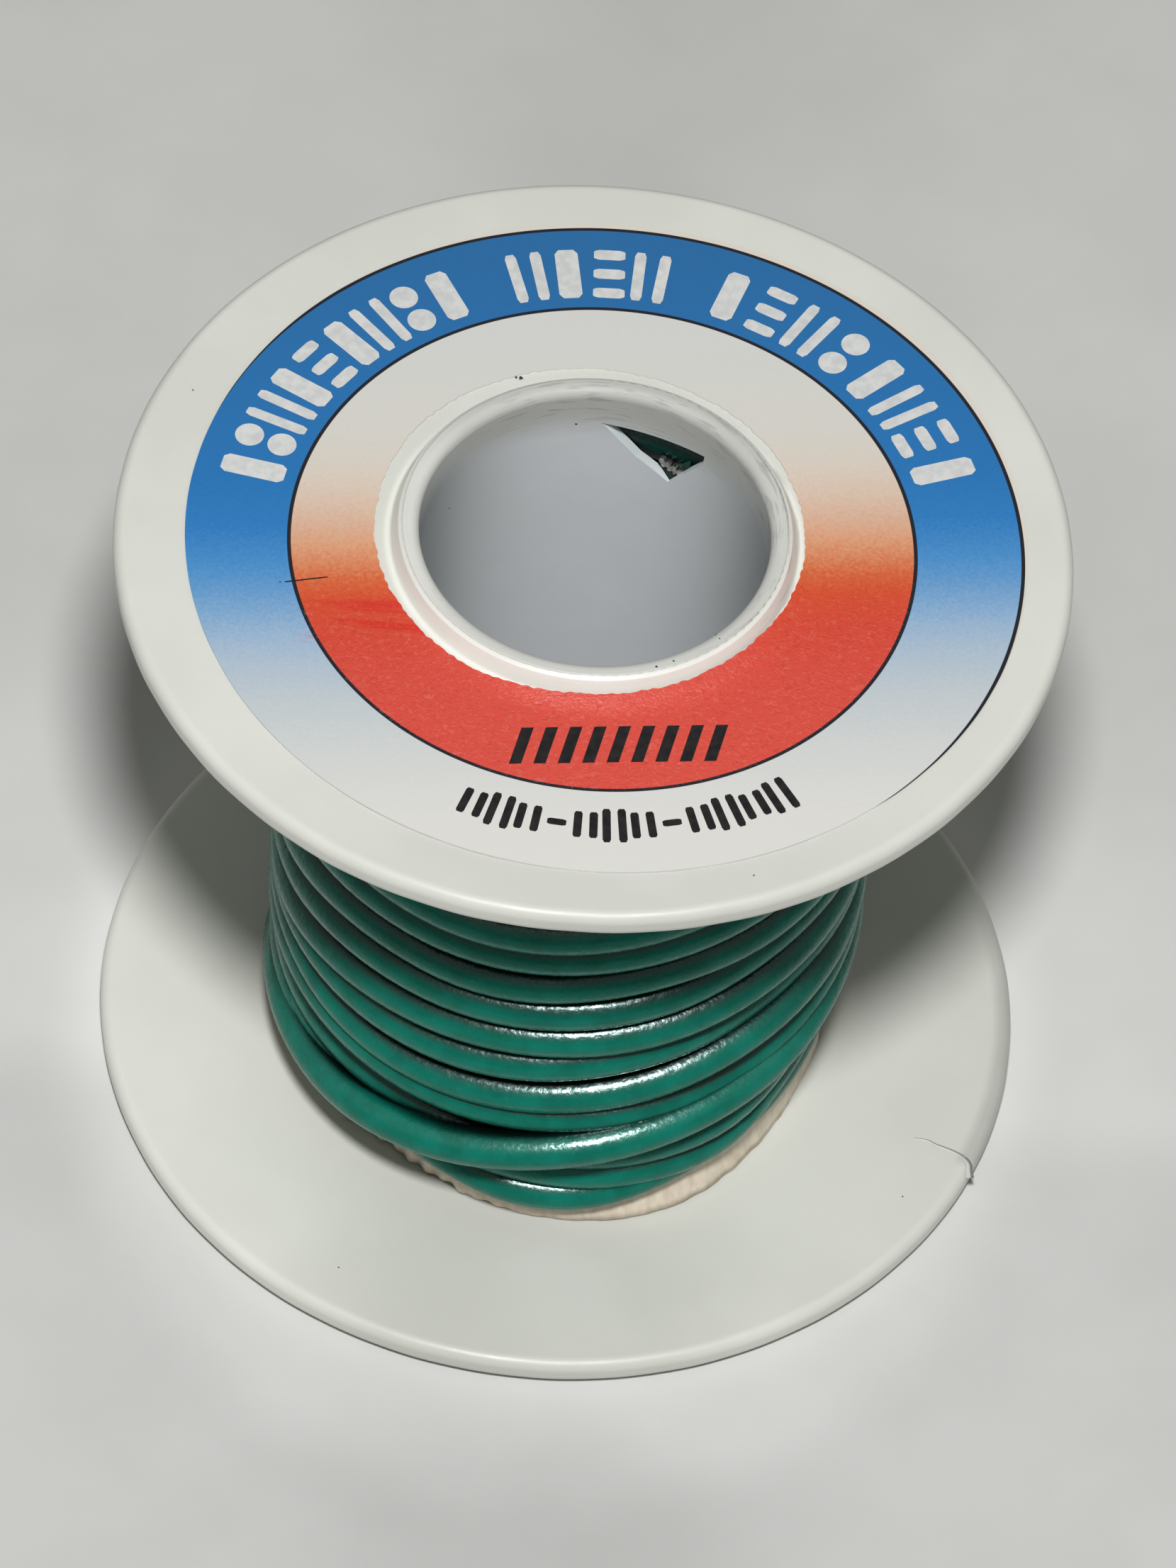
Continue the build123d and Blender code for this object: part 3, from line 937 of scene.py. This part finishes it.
# Pairs of fine strokes at the foot of the outer ring, with a dash in place of two of the pairs
PAIR_COUNT, PAIR_R, PAIR_START, PAIR_STEP = 12, 18.9, 245.6, 4.55
DASHES = (3, 7)


def white_mark(sheet, kind, azimuth):
    """One plain mark on the blue ring."""
    if kind == "b":
        sheet.arc_bar(azimuth, MARK_R, 1.25, MARK_HEIGHT)
    elif kind == "p":
        for side in (-1.9, 1.9):
            sheet.arc_bar(azimuth + side, MARK_R, 0.62, MARK_HEIGHT)
    elif kind == "s":
        for level in (-1, 0, 1):
            sheet.arc_bar(azimuth, MARK_R + 1.36 * level, 1.7, 0.7)
    else:
        for level in (-0.92, 0.92):
            sheet.disc(azimuth, MARK_R + level, 1.55)


def white_print():
    sheet = Print()
    for first, last, kinds in MARK_GROUPS:
        for number, kind in enumerate(kinds):
            white_mark(sheet, kind, last - (last - first) * (number + 0.5) / len(kinds))
    sheet.finish("print_white", WHITE_INK)


def black_print():
    sheet = Print()
    for number in range(ROW_COUNT):
        sheet.slanted(ROW_START[0] + ROW_STEP * number, ROW_START[1], 0.64, 2.4, 0.8)
    for number in range(PAIR_COUNT):
        azimuth = PAIR_START + PAIR_STEP * number
        if number in DASHES:
            sheet.arc_bar(azimuth, PAIR_R, 1.0, 0.42)
        else:
            for side in (-1.25, 1.25):
                sheet.arc_bar(azimuth + side, PAIR_R, 0.44, 2.2 if number % 2 else 1.7)
    # a hairline across the edge of the red ring at the left
    sheet.arc_bar(187.6, 15.9, 0.09, 2.3)
    sheet.finish("print_black", BLACK_INK)


label()
white_print()
black_print()


# ---------------------------------------------------------------- paper tape under the last turns

# Radius of the tape's foot and how creased it is, both by azimuth
TAPE_FOOT = ((-141, 14.65), (-127, 14.2), (-114, 14.5), (-103, 15.05), (-90, 15.45), (-82, 15.65),
             (-73, 15.82), (-63, 15.8), (-55, 15.6), (-48, 15.3), (-40, 15.0), (-30, 14.75), (-20, 14.6),
             (-5, 14.8), (30, 14.7), (120, 14.65), (200, 14.65))
TAPE_CREASED = ((-150, 0.2), (-135, 1.0), (-105, 0.9), (-90, 0.1), (-40, 0.12), (0, 0.15), (180, 0.15))
TAPE_TOP_R, TAPE_HEIGHT, TAPE_T = 14.2, 5.6, 0.13
TAPE_COLUMNS, TAPE_ROWS = 540, 14


def tape():
    """A creased sleeve that leans out at its foot, with its thickness on the inner side."""
    vertices = []
    for column in range(TAPE_COLUMNS):
        azimuth = 360 * column / TAPE_COLUMNS
        foot, creased = along(TAPE_FOOT, azimuth), along(TAPE_CREASED, azimuth)
        fold = math.sin(math.radians(azimuth * 83)) + 0.6 * math.sin(math.radians(azimuth * 47 + 60))
        for row in range(TAPE_ROWS):
            t = row / (TAPE_ROWS - 1)
            lean = (1 - t) ** 1.3
            radius = mix(TAPE_TOP_R, foot, lean) + creased * fold * 0.075 * (0.3 + lean)
            height = GAP_LOW + 0.04 + TAPE_HEIGHT * t
            height += (1 - t) * (0.05 + 0.11 * creased * (1 + wobble(azimuth, 5.0)))
            vertices.append(polar(radius * MM, azimuth, height * MM))
    faces = ring_faces(TAPE_COLUMNS, TAPE_ROWS, closed=False)
    piece = new_piece("tape_wrap", vertices, faces, TAPE, "tape_paper")
    thickness = piece.modifiers.new("thickness", "SOLIDIFY")
    thickness.thickness = TAPE_T * MM
    thickness.offset = -1
    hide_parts("paper_tape")


tape()


# ---------------------------------------------------------------- stage, light, camera

# Places in millimetres, angles in degrees, light in watts
FLOOR_HALF_M = 1.5
SKY_COLOUR, SKY_STRENGTH = (0.97, 0.975, 0.92, 1), 0.155
LAMP_PLACE, LAMP_AIM, LAMP_D, LAMP_POWER = (5, -229, 454), (0, 0, 20), 58, 2.3
CAMERA_ELEVATION, CAMERA_ROLL, CAMERA_DISTANCE = 51.2324, 4.8, 592.87
CAMERA_AIM = (0.736, 16.417, 0.25)
SENSOR_WIDTH, LENS = 36, 239.47


def stage():
    """A wide floor, an even sky and one round lamp above the front."""
    half = FLOOR_HALF_M
    floor = new_piece("floor", [(-half, -half, 0), (half, -half, 0), (half, half, 0), (-half, half, 0)],
                      [(0, 1, 2, 3)], floor_material(), smooth=False)
    world = bpy.data.worlds.new("studio")
    bpy.context.scene.world = world
    world.use_nodes = True
    sky = world.node_tree.nodes["Background"]
    sky.inputs["Color"].default_value = SKY_COLOUR
    sky.inputs["Strength"].default_value = SKY_STRENGTH
    key = bpy.data.lights.new("key", "AREA")
    key.shape, key.size, key.energy = "DISK", LAMP_D * MM, LAMP_POWER
    lamp = bpy.data.objects.new("key", key)
    lamp.location = Vector(LAMP_PLACE) * MM
    lamp.rotation_mode = "QUATERNION"
    lamp.rotation_quaternion = (lamp.location - Vector(LAMP_AIM) * MM).to_track_quat("Z", "Y")
    bpy.context.scene.collection.objects.link(lamp)


def camera():
    """A camera that looks down over the front, rolled a little about its line of sight."""
    elevation, roll = math.radians(CAMERA_ELEVATION), math.radians(CAMERA_ROLL)
    back = Vector((0, -math.cos(elevation), math.sin(elevation)))
    right = Vector((1, 0, 0))
    up = back.cross(right)
    across = math.cos(roll) * right + math.sin(roll) * up
    upward = -math.sin(roll) * right + math.cos(roll) * up
    data = bpy.data.cameras.new("camera")
    data.sensor_width, data.lens = SENSOR_WIDTH, LENS
    data.clip_start = 0.05
    cam = bpy.data.objects.new("camera", data)
    place = Vector(CAMERA_AIM) * MM + back * (CAMERA_DISTANCE * MM)
    cam.matrix_world = Matrix(((across.x, upward.x, back.x, place.x),
                               (across.y, upward.y, back.y, place.y),
                               (across.z, upward.z, back.z, place.z),
                               (0, 0, 0, 1)))
    bpy.context.scene.collection.objects.link(cam)
    bpy.context.scene.camera = cam


stage()
camera()
bpy.context.scene.view_settings.view_transform = "Standard"
